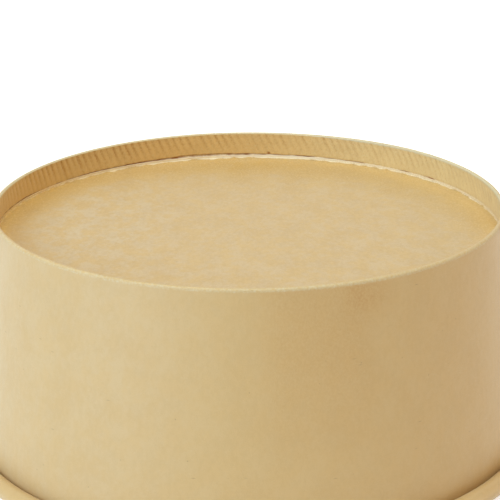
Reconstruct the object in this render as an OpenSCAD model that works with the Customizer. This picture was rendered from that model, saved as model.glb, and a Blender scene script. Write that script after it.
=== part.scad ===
// Round paper bowl of kraft board, turned upside down on its rolled rim.
// It is made from two sheets: a wrapped side wall and a drawn base disc.
// Millimetres. The origin is the centre of the mouth, in the plane that the rim rests on,
// and +Z runs along the bowl's axis, from the mouth to the base.

/* [Bowl] */
// Outer diameter over the rolled rim
rim_d = 150; // [120:1:190]
// Outer diameter of the raised base ring, at its free edge
base_d = 127.5; // [90:0.5:140]
// Height from the rim to the free edge of the base ring
bowl_h = 60; // [40:1:90]

/* [Board] */
// Thickness of the side wall's board
wall_t = 0.4; // [0.3:0.05:0.6]
// Thickness of the base disc's board
base_t = 0.4; // [0.3:0.05:0.6]
// Film of sealant between two layers of board
seal_t = 0.03; // [0.02:0.01:0.06]

/* [Rolled rim] */
// Width of the roll, from the wall's inner face to the outermost point
roll_w = 5; // [4.2:0.1:6]
// Width of the flat that a lid seats on
roll_flat = 0.8; // [0.4:0.1:1.4]
// Gap where the roll comes back to the wall, and between its turns
roll_gap = 0.1; // [0.06:0.02:0.2]
// How far the sheet's end is tucked on past the wall, in degrees
roll_tuck = 80; // [30:5:85]

/* [Base ring] */
// Depth of the folded hem, from the ring's free edge to the sheet's cut edge
hem_depth = 6.2; // [4.5:0.1:8]
// Distance from the hem's cut edge to the start of the base's bend
hem_gap = 0.2; // [0.1:0.1:1]
// Inner radius of the bend between the base and its skirt
bend_r = 0.8; // [0.5:0.1:1.5]
// Room between the skirt's cut end and the fold
skirt_gap = 0.1; // [0.05:0.05:0.5]

/* [Pressed ribs] */
// Distance from one pressed groove to the next, round the hem
groove_pitch = 2.08; // [1.6:0.02:3]
// Width of a groove at the hem's face
groove_w = 1.2; // [0.6:0.1:1.4]
// Depth of a groove
groove_d = 0.15; // [0.05:0.01:0.2]
// Slant of the grooves from upright, in degrees
groove_slant = 26; // [0:1:35]

/* [Side seam] */
// Width of the lapped seam, measured at the base ring
lap_w = 7; // [5:0.5:12]
// How far the lapped edge stands proud of the sheet that it covers
lap_t = 0.2; // [0.15:0.05:0.4]
// Where the middle of the seam is, in degrees round the axis from +X
lap_at = 184; // [0:1:359]
// Distance that the lapped layer stays back from the rolled rim and from the hem's cut edge
lap_gap = 0.3; // [0.2:0.1:1]

/* [Hidden] */
$fn = 180;
kraft = [0.84, 0.71, 0.5];
kraft_pale = [0.85, 0.75, 0.58];
// Largest turn between two points of a bend, in degrees
bend_step = 15;

// Rolled rim: the first turn's middle radius, and the centres of its two bends
turn_r = (roll_w - roll_flat - wall_t) / 2;
roll_z = turn_r + wall_t / 2;
outer_x = rim_d / 2 - roll_z;
inner_x = outer_x - roll_flat;
// The second turn passes over the top and comes down beside the wall
over_r = (roll_flat + 2 * turn_r - wall_t - roll_gap) / 2;
over_x = outer_x + turn_r - over_r;
// The sheet's end is tucked into the roll, clear of the first turn
tuck_r = roll_z - 1.5 * wall_t - roll_gap;
tuck_x = over_x - over_r + tuck_r;

// Slope of the wall: its outer face keeps face_r from the inner bend's centre and
// meets the ring's outer diameter at the full height
run_x = inner_x - base_d / 2;
run_z = bowl_h - roll_z;
face_r = turn_r - wall_t / 2;
slope = acos(face_r / sqrt(run_x * run_x + run_z * run_z)) - atan2(run_z, run_x);
outwards = [cos(slope), sin(slope)];
upwards = [-sin(slope), cos(slope)];
// Foot of the wall's middle line, where the roll starts
foot = [inner_x, roll_z] - turn_r * outwards;

// Base ring: three layers and two films, with the wall's sheet folded over them
ring_t = 2 * wall_t + base_t + 2 * seal_t;
fold_r = (ring_t - wall_t) / 2;
wall_len = (bowl_h - ring_t / 2 - foot[1] + fold_r * sin(slope)) / cos(slope);
hem_low = wall_len + ring_t / 2 - hem_depth;

// Point beside the wall's middle line: out from it, and up along it from the foot
function on_wall(out, up) = foot + out * outwards + up * upwards;

// Grooves: they start at the fold, and run out over the hem's cut edge
hem_in = ring_t - wall_t / 2;
hem_mid = on_wall(-hem_in, (wall_len + hem_low) / 2);
groove_n = round(2 * PI * hem_mid[0] / groove_pitch);

// Base disc: the skirt's middle line, and the bend between the skirt and the disc
skirt_in = (wall_t + base_t) / 2 + seal_t;
bend_mid = bend_r + base_t / 2;
bend_at = on_wall(-skirt_in - bend_mid, hem_low - hem_gap);

// Seam: where the lapped layer ends above the roll, and the angle that it covers
lap_low = (roll_z + over_r + wall_t / 2 + lap_gap - foot[1]) / cos(slope);
lap_deg = lap_w / (base_d / 2) * 180 / PI;

// A sheet's route is a list of bends, each [centre, middle radius, first angle, last angle].
// Straight stretches run from bend to bend. A cut end is a bend with no radius, whose angle
// points to the right of the way along the route.
function cut_end(at, right) = [at, 0, right, right];

// One face of a sheet, at a distance to the left of its route
function face(route, left) = [for (bend = route)
    let (turn = bend[3] - bend[2], steps = max(1, ceil(abs(turn) / bend_step)),
        reach = bend[1] + (turn < 0 ? left : -left))
    for (i = [0 : turn == 0 ? 0 : steps])
        let (angle = bend[2] + turn * i / steps) bend[0] + reach * [cos(angle), sin(angle)]];

function backwards(points) = [for (i = [len(points) - 1 : -1 : 0]) points[i]];

// Layer of sheet between two distances to the left of its route
module layer(route, from, to) {
    polygon(concat(face(route, to), backwards(face(route, from))));
}

// The hem's cut edge and the fold at the free edge of the ring
function hem_and_fold(back) = [
    cut_end(on_wall(-2 * fold_r, hem_low + back), slope),
    [on_wall(-fold_r, wall_len), fold_r, 180 + slope, slope],
];

// Down the wall, along the lid seat, up the outside, over the top and into the roll
wall_route = concat(hem_and_fold(0), [
    [[inner_x, roll_z], turn_r, 180 + slope, 270],
    [[outer_x, roll_z], turn_r, 270, 360],
    [[over_x, roll_z], over_r, 0, 180],
    [[tuck_x, roll_z], tuck_r, 180, 180 + roll_tuck],
]);

// The lapped layer follows the wall's sheet, and stays back from both of its ends
lap_route = concat(hem_and_fold(lap_gap), [cut_end(on_wall(0, lap_low), 180 + slope)]);

// Down the skirt, round the bend and across to the axis
base_route = [
    cut_end(on_wall(-skirt_in, wall_len - skirt_gap), 180 + slope),
    [bend_at, bend_mid, slope, -90],
    cut_end([0, bend_at[1] - bend_mid], 90),
];

// Angle between two directions, in degrees
function apart(one, other) = abs((one - other + 540) % 360 - 180);

// Wedge-shaped bar that presses one groove into the hem, at +X. Its edge goes groove_d deep
// into the face, which is lapped_t further in where a layer is lapped over it.
module groove_bar(lapped_t) {
    length = (wall_len - hem_low) / cos(groove_slant) + groove_w;
    translate([hem_mid[0], 0, hem_mid[1]]) rotate([0, -slope, 0]) translate([-lapped_t, 0, 0])
        rotate([-groove_slant, 0, 0]) translate([0, 0, -length / 2]) linear_extrude(length)
            polygon([[groove_d, 0], [-groove_d, groove_w], [-groove_d, -groove_w]]);
}

// The grooves that lie within an angle of the seam's middle
module grooves(within, lapped_t) {
    for (i = [0 : groove_n - 1])
        if (apart(360 * i / groove_n, lap_at) < within)
            rotate([0, 0, 360 * i / groove_n]) groove_bar(lapped_t);
}

// The sheet itself, with its rolled rim and its folded and ribbed hem
module wrapped_sheet() {
    difference() {
        rotate_extrude() layer(wall_route, -wall_t / 2, wall_t / 2);
        grooves(360, 0);
    }
}

// The layer that laps over the sheet at the seam, ribbed with it
module lapped_layer() {
    difference() {
        rotate([0, 0, lap_at - lap_deg / 2])
            rotate_extrude(angle = lap_deg) layer(lap_route, 0, wall_t / 2 + lap_t);
        grooves(lap_deg, lap_t);
    }
}

// The wrapped sheet and its lapped seam
module side_wall() {
    color(kraft) {
        wrapped_sheet();
        lapped_layer();
    }
}

// The drawn base: a flat disc whose skirt stands up inside the ring
module base_disc() {
    color(kraft_pale) rotate_extrude() layer(base_route, -base_t / 2, base_t / 2);
}

side_wall();
base_disc();
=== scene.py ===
"""Dresses the kraft board bowl: two sheets of board, a studio and a camera, all in metres."""

import logging
import math
from dataclasses import dataclass, field, replace
from enum import Enum
from typing import Callable, Sequence

import bpy
import numpy as np
from mathutils import Matrix, Vector


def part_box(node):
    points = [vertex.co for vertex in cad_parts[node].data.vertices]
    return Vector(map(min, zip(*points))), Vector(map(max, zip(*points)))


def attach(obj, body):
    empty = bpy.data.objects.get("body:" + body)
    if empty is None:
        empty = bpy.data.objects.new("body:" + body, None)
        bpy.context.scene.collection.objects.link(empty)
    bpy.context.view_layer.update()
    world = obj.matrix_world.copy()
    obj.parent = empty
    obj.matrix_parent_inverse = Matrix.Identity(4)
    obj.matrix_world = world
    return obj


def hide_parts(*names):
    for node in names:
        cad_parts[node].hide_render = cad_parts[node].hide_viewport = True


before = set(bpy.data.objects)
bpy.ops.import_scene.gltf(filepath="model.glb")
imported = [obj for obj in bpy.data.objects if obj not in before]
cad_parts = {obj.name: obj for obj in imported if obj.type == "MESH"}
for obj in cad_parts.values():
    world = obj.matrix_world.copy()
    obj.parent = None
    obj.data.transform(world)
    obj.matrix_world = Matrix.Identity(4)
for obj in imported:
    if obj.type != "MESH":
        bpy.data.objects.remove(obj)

LOG = logging.getLogger("paper_bowl")
MM = 0.001
# Less than any size of the bowl, in metres.
HAIR = 1e-9
# More than any size of the bowl, in metres or in fold radii.
FAR = 1000.0
# How far apart the textures of a sheet's two faces lie, in metres.
FACES_APART = 0.5
Array = np.ndarray
Socket = bpy.types.NodeSocket
Colour = tuple[float, float, float]
Span = tuple[float, float]
# Angle in degrees and level of each knot, or start and end of each stretch.
Pairs = tuple[Span, ...]


class Columns(Enum):
    """How many columns of vertices a ring of the mesh has."""

    RIBBED = 1520
    ROUND = 380
    HIDDEN = 190


class Mark(Enum):
    """Masks that the meshes carry and the finishes read, most of them from 0 to 1."""

    # Crushed and drawn-out fibres, and painted highlights on the fold and the bend.
    CRUSH = "crush"
    # On the wall the pressed hem; on the disc a band of painted shade and bounce light by the
    # ring.
    PRESSED = "pressed"
    # The pressed grooves, which also carry painted shade; and darker places under the fold.
    GROOVE = "groove"
    RAW = "raw"
    FILM = "film"
    # Painted shade in the gap under the hem, and in a small spot at its cut edge.
    GAP = "gap"
    # Painted light: on the hem's lit side, and on the disc where the ring shades it.
    FADED = "faded"
    # Painted light, paler and cooler: sheen on the wall's lit left, light on the shaded disc.
    DRY = "dry"


@dataclass(frozen=True)
class BowlSizes:
    """The bowl's real sizes in metres, as the frame and the board give them."""

    rim_r: float
    full_height: float
    lap_t: float = 0.2 * MM
    base_r: float = 63.75 * MM
    wall_t: float = 0.4 * MM
    base_t: float = 0.4 * MM
    seal_t: float = 0.03 * MM
    roll_w: float = 5.0 * MM
    roll_flat: float = 0.8 * MM
    roll_gap: float = 0.1 * MM
    roll_tuck: float = math.radians(80)
    hem_depth: float = 6.2 * MM
    hem_gap: float = 0.2 * MM
    bend_r: float = 0.8 * MM
    skirt_gap: float = 0.1 * MM
    lap_w: float = 7.0 * MM
    lap_at: float = math.radians(184)
    groove_n: int = 190
    groove_d: float = 0.15 * MM
    groove_slant: float = math.radians(26)

    @property
    def height(self) -> float:
        """Height to the ring's free edge, beside the lapped seam."""
        return self.full_height - self.lap_t

    @property
    def turn_r(self) -> float:
        """Middle radius of the rolled rim's first turn."""
        return (self.roll_w - self.roll_flat - self.wall_t) / 2

    @property
    def roll_z(self) -> float:
        """Height of the roll's middle."""
        return self.turn_r + self.wall_t / 2

    @property
    def outer_x(self) -> float:
        """Radius of the outer bend's centre."""
        return self.rim_r - self.roll_z

    @property
    def inner_x(self) -> float:
        """Radius of the inner bend's centre."""
        return self.outer_x - self.roll_flat

    @property
    def over_r(self) -> float:
        """Middle radius of the turn that passes over the top of the roll."""
        return (self.roll_flat + 2 * self.turn_r - self.wall_t - self.roll_gap) / 2

    @property
    def over_x(self) -> float:
        """Radius of that turn's centre."""
        return self.outer_x + self.turn_r - self.over_r

    @property
    def tuck_r(self) -> float:
        """Middle radius of the tucked end."""
        return self.roll_z - 1.5 * self.wall_t - self.roll_gap

    @property
    def tuck_x(self) -> float:
        """Radius of the tucked end's centre."""
        return self.over_x - self.over_r + self.tuck_r

    @property
    def slope(self) -> float:
        """Slope of the wall from upright.

        Returns:
            The angle, in radians, of a line from the ring's edge that touches the roll's turn.
        """
        run_x = self.inner_x - self.base_r
        run_z = self.height - self.roll_z
        face_r = self.turn_r - self.wall_t / 2
        return math.acos(face_r / math.hypot(run_x, run_z)) - math.atan2(run_z, run_x)

    @property
    def outwards(self) -> Array:
        """Unit vector square to the wall, in the section's plane."""
        return np.array([math.cos(self.slope), math.sin(self.slope)])

    @property
    def upwards(self) -> Array:
        """Unit vector up along the wall, in the section's plane."""
        return np.array([-math.sin(self.slope), math.cos(self.slope)])

    @property
    def foot(self) -> Array:
        """Foot of the wall's middle line, where the roll starts."""
        return np.array([self.inner_x, self.roll_z]) - self.turn_r * self.outwards

    @property
    def ring_t(self) -> float:
        """Thickness of the base ring: three layers and two films."""
        return 2 * self.wall_t + self.base_t + 2 * self.seal_t

    @property
    def fold_r(self) -> float:
        """Middle radius of the fold at the ring's free edge."""
        return (self.ring_t - self.wall_t) / 2

    @property
    def wall_len(self) -> float:
        """Length of the straight wall, up to the fold."""
        lean = self.fold_r * math.sin(self.slope)
        return (self.height - self.ring_t / 2 - self.foot[1] + lean) / math.cos(self.slope)

    @property
    def hem_low(self) -> float:
        """Where the hem's cut edge is, up along the wall."""
        return self.wall_len + self.ring_t / 2 - self.hem_depth

    @property
    def hem_len(self) -> float:
        """Length of the hem's straight stretch."""
        return self.wall_len - self.hem_low

    @property
    def hem_r(self) -> float:
        """Radius at the middle of the hem."""
        return float(self.on_wall(-2 * self.fold_r, (self.wall_len + self.hem_low) / 2)[0])

    @property
    def skirt_in(self) -> float:
        """Distance from the wall's middle line in to the skirt's."""
        return (self.wall_t + self.base_t) / 2 + self.seal_t

    @property
    def bend_mid(self) -> float:
        """Middle radius of the bend between the base and its skirt."""
        return self.bend_r + self.base_t / 2

    def on_wall(self, out: float, up: float) -> Array:
        """A point out from the wall's middle line and up along it, as (radius, height)."""
        return self.foot + out * self.outwards + up * self.upwards


@dataclass
class Route:
    """The middle line of a sheet, seen from its edge, as stations along it.

    The left normal of a station points to the left of the way along the route.
    """

    at: list[Array] = field(default_factory=list)
    left: list[Array] = field(default_factory=list)
    run: list[float] = field(default_factory=list)

    def _add(self, at: Array, left: Array) -> None:
        """Adds a station and its distance along the route.

        Args:
            at: Its place, as (radius, height).
            left: The left normal there.
        """
        ahead = float(np.linalg.norm(at - self.at[-1])) if self.at else 0.0
        self.run.append(self.run[-1] + ahead if self.run else 0.0)
        self.at.append(np.asarray(at, float))
        self.left.append(np.asarray(left, float))

    def straight(self, start: Array, end: Array, steps: int) -> "Route":
        """Adds a straight stretch.

        Args:
            start: First point, as (radius, height).
            end: Last point.
            steps: Number of steps between them.

        Returns:
            The route itself.
        """
        way = (end - start) / np.linalg.norm(end - start)
        left = np.array([-way[1], way[0]])
        for share in np.linspace(0, 1, steps + 1)[1 if self.at else 0:]:
            self._add(start + share * (end - start), left)
        return self

    def bend(self, centre: Array, radius: float, first: float, last: float,
             steps: int) -> "Route":
        """Adds a round stretch.

        Args:
            centre: Centre of the bend, as (radius, height).
            radius: Radius of the middle line.
            first: Angle of its first point, in radians.
            last: Angle of its last point.
            steps: Number of steps between them.

        Returns:
            The route itself.
        """
        side = -1.0 if last > first else 1.0
        for angle in np.linspace(first, last, steps + 1)[1:]:
            away = np.array([math.cos(angle), math.sin(angle)])
            self._add(centre + radius * away, side * away)
        return self


@dataclass(frozen=True)
class Row:
    """One ring of a sheet's mesh.

    Attributes:
        at: Radius and height.
        normal: Unit vector out of the sheet's face, in the section's plane.
        run: Distance along the sheet's route.
        back: True on the face that can't be seen from above.
        columns: How many columns the ring has.
        marks: The masks that are the same all round the ring.
    """

    at: Array
    normal: Array
    run: float
    back: bool
    columns: Columns
    marks: dict[Mark, float]

    @property
    def aside(self) -> float:
        """How far aside the face's texture lies."""
        return FACES_APART if self.back else 0.0

    def ring(self, angles: Array, lift: Array, wider: Array | float = 0.0,
             higher: Array | float = 0.0) -> Array:
        """The points of the row's ring.

        Args:
            angles: Angle of each column.
            lift: How far each point stands out of the sheet's face.
            wider: How much further from the bowl's axis it is.
            higher: How much higher it is.

        Returns:
            One point for each angle.
        """
        radius = self.at[0] + lift * self.normal[0] + wider
        height = self.at[1] + lift * self.normal[1] + higher
        return np.stack([radius * np.cos(angles), radius * np.sin(angles), height], 1)


def smooth(value: Array | float, low: float, high: float) -> Array:
    """A step from 0 at low to 1 at high that starts and ends gently."""
    share = np.clip((np.asarray(value, float) - low) / (high - low), 0, 1)
    return share * share * (3 - 2 * share)


def fall(value: Array | float, start: float, end: float) -> Array:
    """A step from 1 at its start to 0 at its end that is gentle at both."""
    return 1 - smooth(value, start, end)


@dataclass(frozen=True)
class Hill:
    """A level that rises gently from 0 to 1 and falls gently back.

    Attributes:
        start: Where it starts to rise.
        top: Where it reaches 1.
        edge: Where it starts to fall.
        end: Where it is back at 0.
    """

    start: float
    top: float
    edge: float
    end: float

    def __call__(self, value: Array | float) -> Array:
        """The level at a value."""
        return smooth(value, self.start, self.top) * fall(value, self.edge, self.end)


def until(edge: float, end: float) -> Hill:
    """A level of 1 that falls from an edge on and is 0 at its end."""
    return Hill(edge - 2 * FAR, edge - FAR, edge, end)


def turned(angle: Array, zero: float) -> Array:
    """The angle measured from zero, between half a turn back and half a turn on."""
    return (angle - zero + math.pi) % (2 * math.pi) - math.pi


def stretches(angle: Array, spans: Pairs, soft: float) -> Array:
    """1 within some stretches of the way round the bowl, and 0 between them.

    Args:
        angle: Angles in radians.
        spans: Start and end of each stretch, in degrees.
        soft: Length over which a stretch fades at its ends, in degrees.

    Returns:
        The level at each angle.
    """
    level = np.zeros(len(angle))
    for start, end in spans:
        off = np.degrees(np.abs(turned(angle, math.radians((start + end) / 2))))
        level = np.maximum(level, fall(off - (end - start) / 2, -soft / 2, soft / 2))
    return level


def knots(angle: Array, pairs: Pairs) -> Array:
    """The level at each angle in radians, by knots of an angle in degrees and a level."""
    places, levels = zip(*pairs)
    return np.interp(np.degrees(angle), places, levels, period=360)


@dataclass(frozen=True)
class Zone:
    """A zone along the sheet that changes on the way round the bowl.

    Attributes:
        levels: Its level, by angle in degrees.
        across: How it shows by the place across the sheet.
    """

    levels: Pairs
    across: Hill

    def __call__(self, angle: Array, place: float) -> Array:
        """Its level at each angle, at a place across the sheet."""
        return knots(angle, self.levels) * self.across(place)


@dataclass(frozen=True)
class Stain:
    """A darker place on the side sheet, soft at its edges.

    Attributes:
        span: Its start and end on the way round, in degrees.
        soft: Length over which it fades at these ends, in degrees.
        across: How it shows by the distance from the fold, or from the cut edge.
        share: How strong it is.
    """

    span: Span
    soft: float
    across: Hill
    share: float

    def __call__(self, angle: Array, distance: float) -> Array:
        """How strong it is at each angle, at a distance from the fold or the cut edge."""
        return self.share * self.across(distance) * stretches(angle, (self.span,), self.soft)


@dataclass(frozen=True)
class Ripple:
    """Random waves round the bowl, the same on each run.

    Attributes:
        size: Their spread.
        seed: Seed of the random phases.
        slowest: Fewest waves round the bowl.
        fastest: Most waves round the bowl.
        fading: How fast the waves weaken as they get shorter.
    """

    size: float
    seed: int
    slowest: int
    fastest: int
    fading: float

    def __call__(self, angle: Array) -> Array:
        """The height of the waves.

        Args:
            angle: Angles in radians.

        Returns:
            The height at each angle.
        """
        rng = np.random.default_rng(self.seed)
        counts = np.arange(self.slowest, self.fastest + 1)
        weights = rng.normal(size=len(counts)) * (self.slowest / counts) ** self.fading
        phases = rng.uniform(0, 2 * math.pi, len(counts))
        total = np.zeros(len(angle))
        for weight, count, phase in zip(weights, counts, phases):
            total += weight * np.sin(count * angle + phase)
        return self.size * total / math.sqrt(float((weights ** 2).sum()) / 2)


# A row's points, its place on the flat sheet, and its masks.
Shape = tuple[Array, Array, dict[Mark, Array]]


class SheetMesh:
    """A closed mesh made of rings, one for each row of a sheet's section."""

    def __init__(self, name: str, angles: Callable[[Row], Array],
                 shape: Callable[[Row, Array], Shape]) -> None:
        """Starts an empty mesh.

        Args:
            name: Name of the piece.
            angles: Gives the angle of each column of a row.
            shape: Gives a row's points, its place on the flat sheet, and its masks.
        """
        self.name = name
        self.angles = angles
        self.shape = shape
        self.points: list[Array] = []
        self.flat: list[Array] = []
        self.marks: dict[Mark, list[Array]] = {mark: [] for mark in Mark}
        self.rings: list[tuple[int, int]] = []
        self.faces: list[list[int]] = []

    def add_row(self, row: Row) -> None:
        """Adds a ring of vertices, and the band between it and the ring before.

        Args:
            row: The row that the ring is made from.
        """
        angles = self.angles(row)
        points, flat, marks = self.shape(row, angles)
        self.points.append(points)
        self.flat.append(flat)
        for mark in Mark:
            plain_level = np.full(len(angles), row.marks.get(mark, 0.0))
            self.marks[mark].append(marks.get(mark, plain_level))
        start = sum(self.rings[-1]) if self.rings else 0
        self.rings.append((start, len(angles)))
        if len(self.rings) > 1:
            self._band(self.rings[-2], self.rings[-1])

    def _band(self, one: tuple[int, int], two: tuple[int, int]) -> None:
        """Joins two rings whose column counts are multiples of each other.

        Args:
            one: First vertex and column count of a ring.
            two: The same of the ring after it.
        """
        (a, many_a), (b, many_b) = one, two
        few = min(many_a, many_b)
        step_a, step_b = many_a // few, many_b // few
        for k in range(few):
            low = [a + (k * step_a + i) % many_a for i in range(step_a + 1)]
            high = [b + (k * step_b + i) % many_b for i in range(step_b + 1)]
            self.faces.append(low + high[::-1])

    def close(self) -> None:
        """Joins the last ring to the first."""
        self._band(self.rings[-1], self.rings[0])

    def cap(self, ring: int, turned_over: bool) -> None:
        """Closes a ring with one face, at the sheet's middle.

        Args:
            ring: Number of the ring, from 0.
            turned_over: True where the face looks the other way.
        """
        start, many = self.rings[ring]
        loop = list(range(start, start + many))
        self.faces.append(loop[::-1] if turned_over else loop)

    def make(self, sharp: float) -> bpy.types.Object:
        """Builds the Blender object.

        Args:
            sharp: Angle past which an edge is drawn sharp, in radians.

        Returns:
            The object, linked to the scene.
        """
        mesh = bpy.data.meshes.new(self.name)
        mesh.from_pydata(np.concatenate(self.points).tolist(), [], self.faces)
        for mark, levels in self.marks.items():
            layer = mesh.attributes.new(mark.value, "FLOAT", "POINT")
            layer.data.foreach_set("value", np.concatenate(levels).astype(np.float32))
        corners = np.zeros(len(mesh.loops), np.int32)
        mesh.loops.foreach_get("vertex_index", corners)
        flat = np.concatenate(self.flat)[corners]
        self._mend_start(mesh, flat)
        layer = mesh.uv_layers.new(name="sheet")
        layer.uv.foreach_set("vector", flat.astype(np.float32).ravel())
        mesh.polygons.foreach_set("use_smooth", np.ones(len(mesh.polygons), bool))
        mesh.set_sharp_from_angle(angle=sharp)
        mesh.update()
        piece = bpy.data.objects.new(self.name, mesh)
        bpy.context.scene.collection.objects.link(piece)
        return piece

    @staticmethod
    def _mend_start(mesh: bpy.types.Mesh, flat: Array) -> None:
        """Lets the faces that cross the start of the rings run on past their end.

        Args:
            mesh: The mesh.
            flat: Place on the flat sheet of each corner of its faces, changed where it has to be.
        """
        starts = np.zeros(len(mesh.polygons), np.int32)
        totals = np.zeros(len(mesh.polygons), np.int32)
        mesh.polygons.foreach_get("loop_start", starts)
        mesh.polygons.foreach_get("loop_total", totals)
        round_once = float(np.ptp(flat[:, 0]))
        most_corners = Columns.RIBBED.value // Columns.HIDDEN.value + 3
        for start, total in zip(starts, totals):
            along = flat[start:start + total, 0]
            if np.ptp(along) > round_once / 2 and total <= most_corners:
                along[along < along.max() - round_once / 2] += round_once


@dataclass
class SideWall:
    """The wrapped sheet, with its rolled rim, folded hem and lapped seam.

    Angles in the tables are in degrees, and what the tables say of sizes is in millimetres.
    Places on the fold are counted past its end, in fold radii. Places on the hem are shares
    of its depth below the fold.

    Attributes:
        sizes: The bowl's sizes.
        wobble: How far the wall is out of round at the rim.
        wobble_fall: By what share that is less at the ring.
        edge_wave: How far the hem's cut edge wanders.
        edge_sag: How much lower than drawn the cut edge is, by angle.
        rise: How much higher than drawn the ring is.
        crest: How pale the fold's crest is: crushed fibres and a painted highlight.
        crest_low: Where on the fold that starts, by angle.
        crest_soft: Length over which it starts.
        shoulder_highlight: Painted highlight on the outside of the fold, at the front.
        dry: Painted sheen, paler and cooler, on the lit left of the wall, by angle.
        under_fold_patch: A darker, oranger patch on the wall's front-right, just under the fold.
        toned: Where the board of the wall is a little darker.
        spot: A small spot of painted shade at the hem's cut edge, in the gap's shade colour.
        faded: How much painted light the pressed hem carries, most on its lit side, by angle.
        pressing: How hard the wheel has pressed, by angle.
        rib_lift: How much the pressing varies from rib to rib.
        rib_most: The most that counts of that.
        rib_power: How narrow a rib is.
        rib_depth: How deep a rib is pressed at the fold.
        rib_falls: How much shallower it gets, and from where to where on the hem.
        rib_end: Where a rib fades out past the hem, in fold radii.
        line: How deep the line at the fold is that joins the ribs.
        line_end: Where on the hem it fades out.
        deepest: The deepest that counts.
        close: Length of wall under the fold where the rows are closer.
        corner: Width of the small bevel at a cut edge.
        step: Half the width of the seam's cut edge, seen square to the wall.
        seam_columns: Columns gathered at that edge, in steps from it.
        seam_half: Half the width of what is drawn raw there.
        seam_raw: How raw it is.
        seam_foot: Heights above the roll where the lapped layer ends.
        sharp: Angle past which an edge is drawn sharp.
    """

    sizes: BowlSizes
    wobble: Ripple = Ripple(0.08 * MM, 3, 2, 5, 1.0)
    wobble_fall: float = 0.7
    edge_wave: Ripple = Ripple(0.05 * MM, 11, 5, 120, 0.3)
    edge_sag: Pairs = (
        (12, 0.45), (24, 0.4), (35, 0.4), (38.5, 0.2), (42, 0.45), (46.7, 0.45), (50, 0.62),
        (56, 0.45), (64, 0.35), (74, 0.2), (86, 0.1), (97, -0.18), (106, -0.18), (114, 0.07),
        (126, 0.28), (150, 0.36), (160, 0.05), (172, 0.08), (178, 0.2), (200, 0.1))
    rise: Zone = Zone((
        (0, 0.18), (12, 0.16), (30, 0.2), (45, 0.28), (80, 0.2), (102, 0.28), (125, 0.22),
        (145, 0.14), (165, 0.1), (182, 0.05), (215, 0.1), (325, 0.1)), until(0, 12 * MM))
    crest: Zone = Zone((
        # Painted highlight, with crushed fibres, on the fold's crest.
        (0, 0.6), (90, 0.65), (180, 0.6), (200, 0.24), (235, 0.23), (262, 0.2), (350, 0.3)),
        until(-1.7, -0.9))
    crest_low: Pairs = (
        (0, -3.5), (60, -3.5), (80, -2.8), (170, -2.8), (190, -3.2), (250, -3.4), (300, -3.5))
    crest_soft: float = 0.7
    # Painted highlight on the outside of the fold at the front.
    shoulder_highlight: Zone = Zone((
        (180, 0.34), (235, 0.36), (262, 0.36), (285, 0.42), (325, 0.42), (360, 0.36)),
        Hill(-2.0, -1.2, 0.2, 1.4))
    # Painted sheen on the wall's lit left side.
    dry: Pairs = ((180, 0.35), (240, 0.35), (258, 0.1), (266, 0.0), (345, 0.0))
    under_fold_patch: Stain = Stain((290, 299), 5, Hill(0, 0.8 * MM, 2 * MM, 9 * MM), 0.85)
    toned: Stain = Stain((273, 294), 8, until(10 * MM, 50 * MM), 0.6)
    spot: Stain = Stain((84.25, 84.95), 0.3, until(0.5 * MM, 0.9 * MM), 1.0)
    # Painted light on the pressed hem, most on its lit side.
    faded: Pairs = (
        (0, 0.75), (23, 0.75), (35, 0.8), (48, 0.65), (63, 0.6), (77, 0.25), (90, 0.1),
        (100, 0.0), (114, 0.0), (125, 0.25), (139, 0.35), (150, 0.15), (160, 0.0), (190, 0.0))
    pressing: Pairs = (
        (5, 0.45), (30, 0.42), (50, 0.65), (78, 0.68), (100, 0.85), (125, 1.3), (148, 1.35),
        (160, 0.7), (180, 0.2))
    rib_lift: Ripple = Ripple(0.25, 5, 12, 150, 0.1)
    rib_most: float = 0.5
    rib_power: float = 1.6
    rib_depth: float = 1.55
    rib_falls: tuple[tuple[float, float, float], ...] = ((0.5, 0.02, 0.2), (0.75, 0.25, 0.9))
    rib_end: Span = (0.25, 0.6)
    line: float = 0.45
    line_end: Span = (0.03, 0.15)
    deepest: float = 1.6
    close: float = 0.5 * MM
    corner: float = 0.04 * MM
    step: float = 0.03 * MM
    seam_columns: tuple[int, ...] = (-4, -1, 1, 4)
    seam_half: float = 0.045 * MM
    seam_raw: float = 0.8
    seam_foot: Span = (6 * MM, 2 * MM)
    sharp: float = math.radians(50)

    def build(self) -> bpy.types.Object:
        """Makes the mesh of the whole sheet.

        Returns:
            The wall, riding on the bowl's one body and standing for its node.
        """
        mesh = SheetMesh("kraft_wall", self._angles, self._shape)
        for row in self._rows():
            mesh.add_row(row)
        mesh.close()
        piece = mesh.make(self.sharp)
        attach(piece, "root")
        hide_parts("side_wall")
        return piece

    def dress(self, piece: bpy.types.Object, finish: "BoardFinish") -> None:
        """Gives the sheet its board finish."""
        piece.data.materials.append(finish.material("wall_board"))

    @property
    def _fold_end(self) -> float:
        """Where the fold ends, along the route."""
        return self.sizes.hem_len + math.pi * self.sizes.fold_r

    @property
    def _roll_start(self) -> float:
        """Where the rolled rim starts, along the route."""
        return self._fold_end + self.sizes.wall_len

    @property
    def _lap_edge(self) -> float:
        """Angle of the seam's cut edge."""
        return self.sizes.lap_at - self.sizes.lap_w / 2 / self.sizes.base_r

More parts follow.
